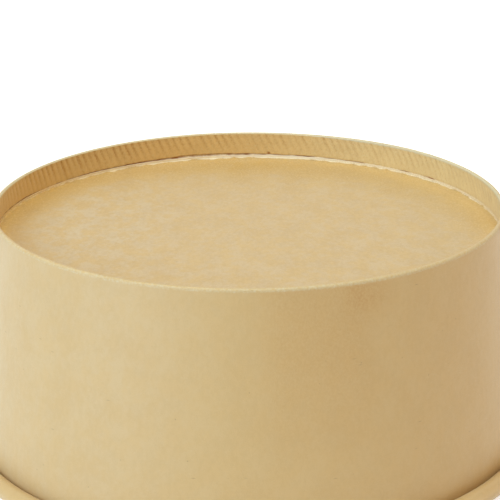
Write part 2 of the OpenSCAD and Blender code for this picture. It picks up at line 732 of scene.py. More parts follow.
    def _route(self) -> Route:
        """The sheet's route.

        Returns:
            The route, from the hem's cut edge to the end tucked into the roll.
        """
        s = self.sizes
        tilt = s.slope
        hem = -2 * s.fold_r
        route = Route()
        route.straight(s.on_wall(hem, s.hem_low), s.on_wall(hem, s.wall_len), steps=12)
        route.bend(s.on_wall(-s.fold_r, s.wall_len), s.fold_r, math.pi + tilt, tilt, steps=14)
        under_fold = s.on_wall(0, s.wall_len - self.close)
        route.straight(s.on_wall(0, s.wall_len), under_fold, steps=4)
        route.straight(under_fold, s.foot, steps=18)
        inner, outer = np.array([s.inner_x, s.roll_z]), np.array([s.outer_x, s.roll_z])
        down, flat = 1.5 * math.pi, s.wall_t / 2
        route.bend(inner, s.turn_r, math.pi + tilt, down, steps=8)
        route.straight(np.array([s.inner_x, flat]), np.array([s.outer_x, flat]), steps=2)
        route.bend(outer, s.turn_r, down, 2 * math.pi, steps=10)
        route.bend(np.array([s.over_x, s.roll_z]), s.over_r, 0, math.pi, steps=18)
        route.bend(np.array([s.tuck_x, s.roll_z]), s.tuck_r, math.pi, math.pi + s.roll_tuck,
                   steps=6)
        return route

    def _rows(self) -> list[Row]:
        """All rings of the sheet.

        Returns:
            The rows, in order round both faces and both cut edges.
        """
        s = self.sizes
        route = self._route()
        half = s.wall_t / 2
        front, back = [], []
        for at, left, run in zip(route.at, route.left, route.run):
            folded = run <= self._fold_end + HAIR
            rolled = run > self._roll_start + HAIR
            marks = {Mark.PRESSED: float(fall(run, s.hem_len, s.hem_len + s.fold_r))}
            columns = Columns.RIBBED if folded else Columns.HIDDEN if rolled else Columns.ROUND
            front.append(Row(at + half * left, left, run, False, columns, marks))
            columns = Columns.HIDDEN if folded else Columns.ROUND
            back.append(Row(at - half * left, -left, run, True, columns, {Mark.FILM: 1.0}))
        return self._bevel(front) + self._bevel(back[::-1])

    def _crush(self, run: float, angles: Array) -> Array:
        """How pale the fold is painted: crushed skin and highlight on its crest, highlight on its
        outside.

        Args:
            run: Distance along the route.
            angles: Angle of each column.

        Returns:
            The level at each angle.
        """
        past = (run - self._fold_end) / self.sizes.fold_r
        started = smooth((past - knots(angles, self.crest_low)) / self.crest_soft, 0, 1)
        return np.maximum(started * self.crest(angles, past), self.shoulder_highlight(angles, past))

    def _bevel(self, rows: list[Row]) -> list[Row]:
        """Bevels the cut edge at each end of one face of the sheet.

        Args:
            rows: The face's rows, from end to end.

        Returns:
            The rows, with one more at each end.
        """
        ends = []
        for end, inner in ((0, 1), (-1, -2)):
            row, inside = rows[end], rows[inner].at - rows[end].at
            inside = self.corner * inside / np.linalg.norm(inside)
            ends.append(replace(row, at=row.at - self.corner * row.normal,
                                marks={Mark.RAW: 1.0}))
            rows[end] = replace(row, at=row.at + inside)
        return [ends[0]] + rows + [ends[1]]

    def _angles(self, row: Row) -> Array:
        """The angle of each column.

        In the hem the columns lean with the pressed ribs. On the wall some of them are
        gathered at the seam's cut edge.

        Args:
            row: The row.

        Returns:
            The angles in radians.
        """
        many = row.columns.value
        angles = np.arange(many) * 2 * math.pi / many
        if row.run < self.sizes.hem_len:
            return angles - self._lean(row.run)
        if row.columns is Columns.ROUND and not row.back:
            places = np.array(self.seam_columns) * self.step / self.sizes.base_r
            first = int(np.searchsorted(angles, self._lap_edge)) - len(places) // 2
            angles[first:first + len(places)] = self._lap_edge + places
        return angles

    def _lean(self, run: float) -> float:
        """How far back a rib has turned at a distance along the route."""
        s = self.sizes
        return math.tan(s.groove_slant) * (s.hem_len - min(run, s.hem_len)) / s.hem_r

    def _shape(self, row: Row, angles: Array) -> Shape:
        """A row's points, its place on the flat sheet, and its masks.

        Args:
            row: The row.
            angles: Angle of each column.

        Returns:
            All three, for each angle.
        """
        s = self.sizes
        groove = self._grooves(row, angles)
        higher = MM * self.rise(angles, row.run - self._fold_end)
        if row.run < s.hem_len / 2:
            higher = higher - (1 - row.run / (s.hem_len / 2)) * self._edge_drop(angles)
        lift = self._lap(row, angles) - s.groove_d * groove
        points = row.ring(angles, lift, self._out_of_round(row, angles), higher)
        flat = np.stack([angles * s.hem_r, np.full(len(angles), row.run + row.aside)], 1)
        return points, flat, self._marks(row, angles, groove)

    def _marks(self, row: Row, angles: Array, groove: Array) -> dict[Mark, Array]:
        """A row's masks that aren't the same all round.

        Args:
            row: The row.
            angles: Angle of each column.
            groove: How deep the wheel has pressed.

        Returns:
            The level of each mask at each angle.
        """
        # Painted light on the pressed hem, most on its lit side.
        faded = row.marks.get(Mark.PRESSED, 0.0) * knots(angles, self.faded)
        # The groove depth also darkens the colour: burnished board, and painted shade in the
        # grooves.
        marks = {Mark.GROOVE: groove, Mark.FADED: faded}
        if row.back:
            return marks
        down = row.run - self._fold_end
        if down > 0:
            marks[Mark.GROOVE] = self.under_fold_patch(angles, down) + self.toned(angles, down)
            # Painted sheen on the wall's lit left side.
            marks[Mark.DRY] = knots(angles, self.dry)
        if row.run < self.sizes.hem_len / 2:
            # Painted shade: a small dark spot in the gap's colour at the hem's cut edge.
            marks[Mark.GAP] = self.spot(angles, row.run)
        if Mark.RAW not in row.marks:
            # Crushed fibres and painted highlight on the fold.
            marks[Mark.CRUSH] = self._crush(row.run, angles)
        if row.columns is Columns.ROUND:
            off = np.abs(turned(angles, self._lap_edge)) * self.sizes.base_r
            marks[Mark.RAW] = self.seam_raw * (off < self.seam_half)
        return marks

    def _edge_drop(self, angles: Array) -> Array:
        """How much lower the hem's cut edge is than drawn."""
        return MM * knots(angles, self.edge_sag) + self.edge_wave(angles)

    def _grooves(self, row: Row, angles: Array) -> Array:
        """How deep the pressing wheel has gone into the hem's face.

        Args:
            row: The row.
            angles: Angle of each column.

        Returns:
            The depth at each angle, about 1 at a rib.
        """
        s = self.sizes
        start, top = (s.hem_len + share * s.fold_r for share in self.rib_end)
        if row.back or row.run > top:
            return np.zeros(len(angles))
        around = angles + self._lean(row.run)
        wave = (0.5 + 0.5 * np.cos(around * s.groove_n)) ** self.rib_power
        uneven = np.clip(self.rib_lift(around), -self.rib_most, self.rib_most)
        strength = (1 + uneven) * knots(around, self.pressing)
        down = (s.hem_len - row.run) / s.hem_len
        depth = self.rib_depth
        for drop, first, last in self.rib_falls:
            depth = depth - drop * smooth(down, first, last)
        line = self.line * fall(down, *self.line_end)
        level = np.maximum(wave * strength * depth, line) * fall(row.run, start, top)
        return np.clip(level, 0, self.deepest)

    def _lap(self, row: Row, angles: Array) -> Array:
        """How far the lapped layer lifts a row: one cut edge, and a gentle ramp behind it.

        Args:
            row: The row.
            angles: Angle of each column.

        Returns:
            The lift at each angle.
        """
        s = self.sizes
        if row.back or row.run > self._roll_start:
            return np.zeros(len(angles))
        past_edge = turned(angles, self._lap_edge) * s.base_r
        edge = smooth(past_edge, -self.step, self.step)
        ramp = fall(past_edge, s.lap_w / 2, s.lap_w)
        start, end = (self._roll_start - above for above in self.seam_foot)
        return s.lap_t * edge * ramp * float(fall(row.run, start, end))

    def _out_of_round(self, row: Row, angles: Array) -> Array:
        """How far the bowl is out of round at a row, more so towards the rim."""
        share = 1 - self.wobble_fall * row.at[1] / self.sizes.height
        return share * self.wobble(angles)


@dataclass
class BaseDisc:
    """The drawn base: a flat disc whose skirt stands up inside the ring.

    Angles in the tables are in degrees, and what the tables say of sizes is in millimetres.
    Places on the bend are shares of it, from 0 at the skirt to 1 at the flat disc. Places on
    the disc are distances from the bend.

    Attributes:
        sizes: The bowl's sizes.
        hole: Radius of the face that closes the disc's middle.
        spare: How far the flat sheet reaches past the ring.
        fine: Places on the bend between which the mesh is fine.
        wrinkle: How far the drawn-out bend is uneven.
        gaps: Where the gap under the hem is open, in degrees.
        gap_soft: Length over which it closes, in degrees.
        open_level: How deep the open gap looks, by angle: its painted shade and the bend's
            recess.
        open_lift: How much that varies.
        open_ends: The least and the most that it is.
        gap_reach: How far round the bend the gap's shade reaches, by angle.
        recess: How far the bend draws back in an open gap.
        recessed: Where on the bend it does.
        bite: How much less it bulges there.
        bite_end: Where on the bend that fades.
        lip: How far the bend bulges inwards under the hem, by angle.
        bulge: Where on the bend it does.
        pale: How pale the bend is, by angle: drawn-out fibres and painted light.
        pale_start: Where on the bend that starts.
        pale_end: Where on the bend it fades.
        pale_ragged: How ragged its edge is.
        band: Distance to where the painted band of shade and bounce light fades, by angle.
        band_end: Shares of that distance over which it fades.
        band_lift: How much the distance varies.
        band_shade: How strong the painted shade and bounce light of the band are, by angle.
        painted_light_near: Painted light on the disc close to the bend, where the ring shades it.
        painted_light_tail: Painted light that still shows a little further on.
        dry: Painted light, paler and cooler, on the disc past the band.
        dome: The slow waves in the flat disc.
        dome_start: Where they start, counted as on the bend.
        dome_middle: Radius within which they fade towards the middle.
        sharp: Angle past which an edge is drawn sharp.
    """

    sizes: BowlSizes
    hole: float = 1 * MM
    spare: float = 8 * MM
    fine: Span = (-0.4, 1.1)
    wrinkle: Ripple = Ripple(0.05 * MM, 21, 20, 400, 0.15)
    gaps: Pairs = ((36.8, 40.5), (45.2, 48.4), (58.5, 71), (72.5, 178), (190, 350))
    gap_soft: float = 1.4
    open_level: Pairs = (
        (30, 0.9), (64, 0.9), (68, 0.5), (72, 0.7), (76, 0.7), (80, 0.5), (90, 0.5),
        (103, 0.38), (112, 0.8), (119, 1.1), (133, 1.25), (146, 1.2), (160, 0.9), (175, 0.6))
    open_lift: Ripple = Ripple(0.2, 23, 10, 160, 0.2)
    open_ends: Span = (0.2, 1.2)
    gap_reach: Pairs = ((20, 0.12), (36, 0.22), (49, 0.24), (62, 0.18), (68, 0.12))
    recess: float = 0.05 * MM
    recessed: Hill = Hill(-0.3, -0.1, 0.05, 0.25)
    bite: float = 0.45
    bite_end: Span = (0.0, 0.1)
    lip: Pairs = (
        (0, 0.35), (12, 0.45), (85, 0.48), (100, 0.58), (150, 0.55), (165, 0.4), (180, 0.25))
    bulge: Hill = Hill(-0.1, 0.0, 0.35, 0.9)
    pale: Pairs = (
        (0, 0.45), (12, 0.5), (24, 0.55), (34, 0.6), (64, 0.65), (72, 0.85), (80, 1.0),
        (119, 1.0), (133, 0.9), (146, 0.65), (160, 0.45), (172, 0.25), (200, 0.4))
    pale_start: Span = (-0.1, 0.03)
    pale_end: Span = (0.65, 1.1)
    pale_ragged: Ripple = Ripple(0.08, 27, 12, 140, 0.4)
    band: Pairs = (
        (6, 9), (18, 11), (32, 13.5), (50, 16.5), (70, 19), (90, 20), (110, 15), (127, 11),
        (141, 8.7), (154, 8), (165, 7), (176, 5.2), (200, 5))
    band_end: Span = (0.35, 1.65)
    band_lift: Ripple = Ripple(0.15, 41, 5, 90, 0.4)
    # Painted shade and bounce light in the band of the disc next to the ring.
    band_shade: Pairs = (
        (0, 0.95), (25, 0.65), (40, 0.78), (70, 0.86), (85, 1.0), (110, 1.0), (125, 0.9),
        (165, 0.85), (180, 0.7), (190, 0.4), (200, 0.15), (340, 0.15), (352, 0.5))
    # Painted light on the disc close to the bend and a little past it, where the ring shades it.
    painted_light_near: Zone = Zone((
        (0, 0.0), (15, 0.15), (60, 0.15), (110, 0.2), (133, 0.5), (148, 0.85), (165, 1.0),
        (190, 0.9)), until(-0.5 * MM, 3 * MM))
    painted_light_tail: Zone = Zone((
        (0, 0.0), (12, 0.05), (25, 0.22), (85, 0.22), (115, 0.15), (125, 0.0), (180, 0.0)),
        until(2 * MM, 8 * MM))
    # Painted light past the band, where the ring's shade and warm bounce darken the disc.
    dry: Zone = Zone((
        (0, 0.1), (30, 0.0), (120, 0.0), (150, 0.75), (170, 1.0), (195, 1.0), (230, 0.25)),
        Hill(5 * MM, 13 * MM, 28 * MM, 48 * MM))
    dome: Ripple = Ripple(0.03 * MM, 31, 2, 7, 0.5)
    dome_start: Span = (1.0, 6.0)
    dome_middle: float = 20 * MM
    sharp: float = math.radians(50)

    def build(self) -> bpy.types.Object:
        """Makes the mesh of the base.

        Returns:
            The base, riding on the bowl's one body and standing for its node.
        """
        mesh = SheetMesh("kraft_base", self._angles, self._shape)
        top, under = self._rows()
        for row in top[::-1] + under:
            mesh.add_row(row)
        mesh.cap(0, False)
        mesh.cap(len(mesh.rings) - 1, True)
        piece = mesh.make(self.sharp)
        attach(piece, "root")
        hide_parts("base_disc")
        return piece

    def dress(self, piece: bpy.types.Object, finish: "BoardFinish") -> None:
        """Gives the base its board finish."""
        piece.data.materials.append(finish.material("base_board"))

    @property
    def _skirt_len(self) -> float:
        """Length of the straight skirt."""
        s = self.sizes
        return s.wall_len - s.skirt_gap - (s.hem_low - s.hem_gap)

    @property
    def _bend_len(self) -> float:
        """Length of the bend's middle line."""
        return self.sizes.bend_mid * (math.pi / 2 + self.sizes.slope)

    def _rows(self) -> tuple[list[Row], list[Row]]:
        """The rings of the base.

        Returns:
            Those of the face that shows, and those of the face inside the bowl.
        """
        s = self.sizes
        centre = s.on_wall(-s.skirt_in - s.bend_mid, s.hem_low - s.hem_gap)
        top = s.on_wall(-s.skirt_in, s.wall_len - s.skirt_gap)
        low = s.on_wall(-s.skirt_in, s.hem_low - s.hem_gap)
        route = Route().straight(top, low, steps=10)
        route.bend(centre, s.bend_mid, s.slope, -math.pi / 2, steps=16)
        floor = centre - np.array([0, s.bend_mid])
        route.straight(floor, np.array([self.hole, floor[1]]), steps=30)
        half = s.base_t / 2
        outer, inner = [], []
        for at, left, run in zip(route.at, route.left, route.run):
            fine = self.fine[0] <= self._share(run) <= self.fine[1]
            columns = Columns.RIBBED if fine else Columns.ROUND
            outer.append(Row(at - half * left, -left, run, False, columns, {}))
            inner.append(Row(at + half * left, left, run, True, Columns.HIDDEN, {Mark.FILM: 1.0}))
        return outer, inner

    def _share(self, run: float) -> float:
        """How far round the bend a distance along the route is, from 0 to 1."""
        return (run - self._skirt_len) / self._bend_len

    def _angles(self, row: Row) -> Array:
        """The angle of each column."""
        many = row.columns.value
        return np.arange(many) * 2 * math.pi / many

    def _shape(self, row: Row, angles: Array) -> Shape:
        """A row's points, its place on the flat sheet, and its masks.

        Args:
            row: The row.
            angles: Angle of each column.

        Returns:
            All three, for each angle.
        """
        points = row.ring(angles, self._lift(row, angles))
        out = self.sizes.base_r + self.spare - row.run
        flat = np.stack([out * np.cos(angles) + row.aside, out * np.sin(angles)], 1)
        return points, flat, {} if row.back else self._marks(row.run, angles)

    def _marks(self, run: float, angles: Array) -> dict[Mark, Array]:
        """The masks of the face that shows.

        Args:
            run: Distance along the route.
            angles: Angle of each column.

        Returns:
            The level of each mask at each angle.
        """
        share = self._share(run)
        past = run - self._skirt_len - self._bend_len
        ragged = share + self.pale_ragged(angles)
        # Drawn-out fibres on the bend, and painted light where the hem shades it.
        stretched_and_lit = smooth(share, *self.pale_start) * fall(ragged, *self.pale_end)
        shaded = fall(share / knots(angles, self.gap_reach), 0, 1)
        reach = MM * knots(angles, self.band) * (1 + self.band_lift(angles))
        return {Mark.CRUSH: stretched_and_lit * knots(angles, self.pale),
                # Painted shade and orange bounce light from the ring, in a band on the disc.
                Mark.PRESSED: knots(angles, self.band_shade) * fall(past / reach, *self.band_end),
                # Painted light close to the bend, where the ring shades the disc.
                Mark.FADED: self.painted_light_near(angles, past) + self.painted_light_tail(angles, past),
                # Painted pale light past the band.
                Mark.DRY: self.dry(angles, past),
                # Painted shade in the open gap under the hem's cut edge.
                Mark.GAP: np.clip(shaded * self._open(angles), 0, 1)}

    def _open(self, angles: Array) -> Array:
        """How far the gap under the hem is open, from 0 to about 1."""
        level = knots(angles, self.open_level) + self.open_lift(angles)
        return stretches(angles, self.gaps, self.gap_soft) * np.clip(level, *self.open_ends)

    def _lift(self, row: Row, angles: Array) -> Array:
        """How far a row stands out of its face: wrinkles, the lip and the disc's waves.

        Args:
            row: The row.
            angles: Angle of each column.

        Returns:
            The lift at each angle.
        """
        if row.back:
            return np.zeros(len(angles))
        share = self._share(row.run)
        open_gap = self._open(angles)
        out = self.wrinkle(angles) + MM * knots(angles, self.lip)
        out = out * self.bulge(share) * (1 - self.bite * open_gap * fall(share, *self.bite_end))
        inside = smooth(share, *self.dome_start) * smooth(row.at[0], 0, self.dome_middle)
        return out - self.recess * open_gap * self.recessed(share) + inside * self.dome(angles)


@dataclass(frozen=True)
class Clouds:
    """Cloudy noise on the flat sheet.

    Attributes:
        scale: Features per millimetre, along the sheet and across it.
        turn: Its turn on the sheet, in degrees.
        detail: How many finer layers it has.
        rough: How strong they are.
    """

    scale: Span
    turn: float = 0.0
    detail: float = 2.0
    rough: float = 0.5


@dataclass(frozen=True)
class Specks:
    """Scattered specks on the flat sheet.

    Attributes:
        scale: Spots per millimetre, along the sheet and across it.
        turn: Their turn on the sheet, in degrees.
        share: Share of the spots that carry a speck.
        largest: Radius of the largest speck, if the spots are 1 apart.
        smallest: Radius of the smallest.
    """

    scale: Span
    turn: float
    share: float
    largest: float
    smallest: float = 0.001


class Bench:
    """A shader tree that nodes are put on and wired up."""

    def __init__(self, tree: bpy.types.NodeTree) -> None:
        """Takes the tree to work on."""
        self.tree = tree

    def node(self, kind: str, **settings: object) -> bpy.types.Node:
        """Adds a node and sets its properties.

        Args:
            kind: Its type, without the words that the types of all shader nodes start with.
            settings: Value of each property, by name.

        Returns:
            The node.
        """
        made = self.tree.nodes.new("ShaderNode" + kind)
        for name, value in settings.items():
            setattr(made, name, value)
        return made

    def put(self, socket: Socket, value: object) -> None:
        """Wires a socket to another one, or sets its value.

        Args:
            socket: The socket.
            value: The other socket, a number or a colour.
        """
        if isinstance(value, Socket):
            self.tree.links.new(value, socket)
        elif isinstance(value, tuple) and socket.type == "RGBA":
            socket.default_value = (*value, 1.0)
        else:
            socket.default_value = value

    def math(self, operation: str, *values: object) -> Socket:
        """Works out one number.

        Args:
            operation: What is worked out, in Blender's word for it.
            values: The sockets or numbers that it is worked out from.

        Returns:
            The number's socket.
        """
        node = self.node("Math", operation=operation)
        for socket, value in zip(node.inputs, values):
            self.put(socket, value)
        return node.outputs[0]

    def total(self, *parts: tuple[object, object]) -> Socket:
        """Adds up products.

        Args:
            parts: A value and its weight, for each product.

        Returns:
            The sum's socket.
        """
        sum_so_far = 0.0
        for value, weight in parts:
            sum_so_far = self.math("MULTIPLY_ADD", value, weight, sum_so_far)
        return sum_so_far

    def step(self, value: object, low: object, high: object, out_low: object = 0.0,
             out_high: object = 1.0) -> Socket:
        """Maps a value from one range to another, gently and within its ends.

        Args:
            value: The value.
            low: Start of its range.
            high: End of its range.
            out_low: What the start is mapped to.
            out_high: What the end is mapped to.

        Returns:
            The mapped value's socket.
        """
        node = self.node("MapRange", interpolation_type="SMOOTHSTEP")
        for name, number in (("Value", value), ("From Min", low), ("From Max", high),
                             ("To Min", out_low), ("To Max", out_high)):
            self.put(node.inputs[name], number)
        return node.outputs[0]

    def mix(self, share: object, one: object, two: object) -> Socket:
        """Mixes two colours.

        Args:
            share: How much there is of the second.
            one: The first colour.
            two: The second colour.

        Returns:
            The mixed colour's socket.
        """
        node = self.node("Mix", data_type="RGBA")
        for socket, value in zip((node.inputs[0], node.inputs[6], node.inputs[7]),
                                 (share, one, two)):
            self.put(socket, value)
        return node.outputs[2]

    def place(self, vector: object, scale: Span, turn: float = 0.0) -> Socket:
        """Turns a place on the sheet and scales it.

        Args:
            vector: The place.
            scale: Scale along the sheet and across it.
            turn: The turn, in degrees.

        Returns:
            The new place's socket.
        """
        node = self.node("Mapping")
        self.put(node.inputs["Vector"], vector)
        node.inputs["Rotation"].default_value = (0, 0, math.radians(turn))
        node.inputs["Scale"].default_value = (*scale, 1.0)
        return node.outputs[0]

    def noise(self, place: object, clouds: Clouds) -> Socket:
        """Cloudy noise on the sheet.

        Args:
            place: Place on the sheet, in millimetres.
            clouds: How the noise looks.

        Returns:
            The socket of its level, which lies about 0.5.
        """
        node = self.node("TexNoise")
        self.put(node.inputs["Vector"], self.place(place, clouds.scale, clouds.turn))
        node.inputs["Scale"].default_value = 1.0
        node.inputs["Detail"].default_value = clouds.detail
        node.inputs["Roughness"].default_value = clouds.rough
        return node.outputs["Fac"]

    def specks(self, place: object, specks: Specks) -> Socket:
        """Scattered specks on the sheet.

        Args:
            place: Place on the sheet, in millimetres.
            specks: How they look.

        Returns:
            The socket of their level, 1 in the middle of each and 0 between them.
        """
        node = self.node("TexVoronoi")
        self.put(node.inputs["Vector"], self.place(place, specks.scale, specks.turn))
        node.inputs["Scale"].default_value = 1.0
        parts = self.node("SeparateColor")
        self.put(parts.inputs[0], node.outputs["Color"])
        reach = self.step(parts.outputs[0], 1.0 - specks.share, 1.0, specks.smallest,
                          specks.largest)
        return self.step(node.outputs["Distance"], 0.0, reach, 1.0, 0.0)


class BoardGroups:
    """The node groups that both sheets of board share, built once."""

    SLOW = Clouds((0.12, 0.09))
    SOFT = Clouds((0.9, 0.5), 0, 3.0, 0.6)
    FINE = Clouds((4.5, 1.9), 4, 2.0, 0.6)
    HUE = Clouds((0.25, 0.18), 30, 4.0, 0.65)
    GRAIN = Clouds((1.9, 1.5), -20, 3.0, 0.75)
    TORN = Clouds((1.6, 2.2), 0, 3.0, 0.65)
    FIBRES = (Clouds((0.55, 8.0), 7, 1.0), Clouds((0.7, 9.0), -31, 1.0),
              Clouds((0.8, 8.5), 58, 1.0), Clouds((0.5, 9.5), 96, 1.0))
    FIBRE_STEP = (0.62, 0.78)
    CRUMBS = Specks((0.42, 0.34), 20, 0.45, 0.11)
    SHIVES = Specks((0.16, 0.7), 70, 0.4, 0.12)
    CLOUD_SHARES = (0.3, 0.4, 0.3)
    RELIEF_SHARES = (0.5, 0.8, 1.6)
    BROKEN_STEP = (0.15, 0.85)
    WITHIN_STEP = (0.0, 0.15)

    def __init__(self) -> None:
        """Builds the groups."""
        self.pulp = self._pulp()
        self.wear = self._wear()

    @staticmethod
    def _start(name: str, inputs: Sequence[tuple[str, str]],
               outputs: Sequence[str]) -> tuple[Bench, dict, dict]:
        """Starts a node group.

        Args:
            name: Name of the group.
            inputs: Name and socket type of each input.
            outputs: Name of each output, all of them numbers.

        Returns:
            A bench to wire it on, its inputs' sockets and its outputs' sockets.
        """
        tree = bpy.data.node_groups.new(name, "ShaderNodeTree")
        for label, kind in inputs:
            tree.interface.new_socket(label, in_out="INPUT", socket_type=kind)
        for label in outputs:
            tree.interface.new_socket(label, in_out="OUTPUT", socket_type="NodeSocketFloat")
        source = tree.nodes.new("NodeGroupInput")
        sink = tree.nodes.new("NodeGroupOutput")
        return Bench(tree), dict(source.outputs.items()), dict(sink.inputs.items())

    def _pulp(self) -> bpy.types.NodeTree:
        """The board's own texture: clouds of pulp, single fibres and specks.

        Returns:
            The group. Its Place is in millimetres on the flat sheet.
        """
        bench, given, out = self._start(
            "board_pulp", [("Place", "NodeSocketVector")],
            ["Cloud", "Hue", "Grain", "Fibre", "Speck", "Relief"])
        place = given["Place"]
        slow, soft, fine = (bench.noise(place, clouds)
                            for clouds in (self.SLOW, self.SOFT, self.FINE))
        bench.put(out["Cloud"], bench.total(*zip((slow, soft, fine), self.CLOUD_SHARES)))
        bench.put(out["Hue"], bench.noise(place, self.HUE))
        bench.put(out["Grain"], bench.noise(place, self.GRAIN))
        strands = 0.0
        for clouds in self.FIBRES:
            strand = bench.step(bench.noise(place, clouds), *self.FIBRE_STEP)
            strands = bench.math("MAXIMUM", strands, strand)
        bench.put(out["Fibre"], strands)
        crumbs, shives = bench.specks(place, self.CRUMBS), bench.specks(place, self.SHIVES)
        bench.put(out["Speck"], bench.math("MAXIMUM", crumbs, shives))
        bench.put(out["Relief"], bench.total(*zip((strands, fine, soft), self.RELIEF_SHARES)))
        return bench.tree

    def _wear(self) -> bpy.types.NodeTree:
        """Where the board's skin is broken: a mask made ragged by the pulp.

        Returns:
            The group. Its Place is in millimetres on the flat sheet.
        """
        bench, given, out = self._start(
            "board_wear", [("Place", "NodeSocketVector"), ("Mask", "NodeSocketFloat"),
                           ("Ragged", "NodeSocketFloat")], ["Broken"])
        torn = bench.math("SUBTRACT", bench.noise(given["Place"], self.TORN), 0.5)
        shifted = bench.math("MULTIPLY_ADD", torn, given["Ragged"], given["Mask"])
        broken = bench.step(shifted, *self.BROKEN_STEP)
        within = bench.step(given["Mask"], *self.WITHIN_STEP)
        bench.put(out["Broken"], bench.math("MULTIPLY", broken, within))
        return bench.tree


@dataclass(frozen=True)
class BoardFinish:
    """Kraft board: its colours, its fibres and its sheen, with painted light and shade.

    Attributes:
        groups: The node groups that the board's materials share.
        body: Main colour.
        pale: Colour of crushed and drawn-out fibres, and of the painted highlights.
        hue_share: How strongly the warm clouds show.
        cloud_share: How strongly the dark clouds show.
        pressed: Colour of the pressed hem, and of the painted shade on the disc by the ring.
        faded: Colour of the painted light, paler than the board.
        dry: Colour of the painted pale light, cooler than the board.
        warm: Colour of the redder clouds of pulp.
        deep: Colour of the darker clouds.
        burnish_and_shade: Burnished grooves and their painted shade; darker places under the
            fold.
        speck: Colour of specks of bark.
        raw: Colour of a cut edge.
        gap: Painted shade deep in the gap under the hem, where the hem's edge shades the bend.
        roughness: Of the board's skin.
        uneven: How much the clouds of pulp change it.
        film_roughness: Of the film inside the bowl.
        specular: Level of the mirror-like part of the skin's shine.
        sheen: Weight of the shine of loose fibres, seen along the surface.
        relief: Height of the pulp's relief.
        pressed_hue: How strongly the warm clouds show on pressed board and in the painted band.
        fibre_share: How strongly single fibres show.
        speck_share: How strongly specks show.
        grain_share: How much more strongly pressed board and the painted band are mottled.
        mottle_share: How strongly all of the board is mottled.
        groove_share: How dark the pressed grooves are: burnished, and painted with shade.
        crush_share: How pale the crushed skin and the painted highlights are.
        crush_rough: How much rougher it is.
        crush_relief: How high its relief is, against the pulp's.
        ragged: How ragged its edge is.
        hue_step: Levels of the hue noise between which the warm clouds appear.
        cloud_step: Levels of the cloud noise between which the dark clouds do.
        dark_step: Levels of the grain noise between which dark mottles do.
        light_step: Levels of it between which pale mottles do.
        stroke_step: Levels of it between which a groove changes.
        stroke_ends: How strong the groove is at these levels.
        blotch_step: Levels of the hue noise between which the band's edge moves.
        blotch_ends: How far it moves at these levels.
    """

    groups: BoardGroups
    body: Colour
    pale: Colour
    hue_share: float
    cloud_share: float
    # On the disc this colour is painted shade and bounce light by the ring; the wall is given its
    # own pressed hem colour.
    pressed: Colour = (0.55, 0.33, 0.068)
    faded: Colour = (0.88, 0.60, 0.175)
    # Painted pale light.
    dry: Colour = (0.60, 0.455, 0.265)
    warm: Colour = (0.60, 0.395, 0.16)
    deep: Colour = (0.44, 0.27, 0.095)
    # Burnished grooves and the painted shade in them.
    burnish_and_shade: Colour = (0.50, 0.27, 0.075)
    speck: Colour = (0.30, 0.18, 0.08)
    raw: Colour = (0.55, 0.37, 0.16)
    # Painted shade, deep in the gap under the hem.
    gap: Colour = (0.36, 0.13, 0.018)
    roughness: float = 0.42
    uneven: float = 0.12
    film_roughness: float = 0.3
    specular: float = 0.5
    sheen: float = 0.15
    relief: float = 0.02 * MM
    pressed_hue: float = 0.6
    fibre_share: float = 0.16
    speck_share: float = 0.55
    grain_share: float = 0.22
    mottle_share: float = 0.0
    groove_share: float = 0.42
    # Weight of the crushed skin and of the painted highlights.
    crush_share: float = 0.9
    crush_rough: float = 0.35
    crush_relief: float = 0.6
    ragged: float = 0.9
    hue_step: Span = (0.38, 0.62)
    cloud_step: Span = (0.42, 0.6)
    dark_step: Span = (0.5, 0.68)
    light_step: Span = (0.5, 0.32)
    stroke_step: Span = (0.38, 0.62)
    stroke_ends: Span = (0.5, 1.4)
    blotch_step: Span = (0.35, 0.65)
    blotch_ends: Span = (-1.2, 1.2)

    def material(self, name: str) -> bpy.types.Material:
        """Builds the finish's material.

        Args:
            name: Name of the material.

        Returns:
            The material.
        """
        made = bpy.data.materials.new(name)
        made.use_nodes = True
        bench = Bench(made.node_tree)
        shader = made.node_tree.nodes["Principled BSDF"]
        metres = bench.node("UVMap", uv_map="sheet").outputs[0]
        place = bench.place(metres, (1 / MM, 1 / MM))
        marks = {mark: bench.node("Attribute", attribute_name=mark.value).outputs["Fac"]
                 for mark in Mark}
        pulp = self._group(bench, self.groups.pulp, Place=place)
        crush = self._group(bench, self.groups.wear, Place=place, Mask=marks[Mark.CRUSH],
                            Ragged=self.ragged)["Broken"]
        bench.put(shader.inputs["Base Color"], self._colour(bench, pulp, crush, marks))
        rough = bench.total((pulp["Cloud"], self.uneven),
                            (1.0, self.roughness - self.uneven / 2),
                            (marks[Mark.CRUSH], self.crush_rough),
                            (marks[Mark.FILM], self.film_roughness - self.roughness))
        bench.put(shader.inputs["Roughness"], rough)
        shader.inputs["Specular IOR Level"].default_value = self.specular
        shader.inputs["Sheen Weight"].default_value = self.sheen
        relief = bench.node("Bump")
        relief.inputs["Distance"].default_value = self.relief
        bench.put(relief.inputs["Height"],
                  bench.total((pulp["Relief"], 1.0), (crush, self.crush_relief)))
        bench.put(shader.inputs["Normal"], relief.outputs[0])
        return made

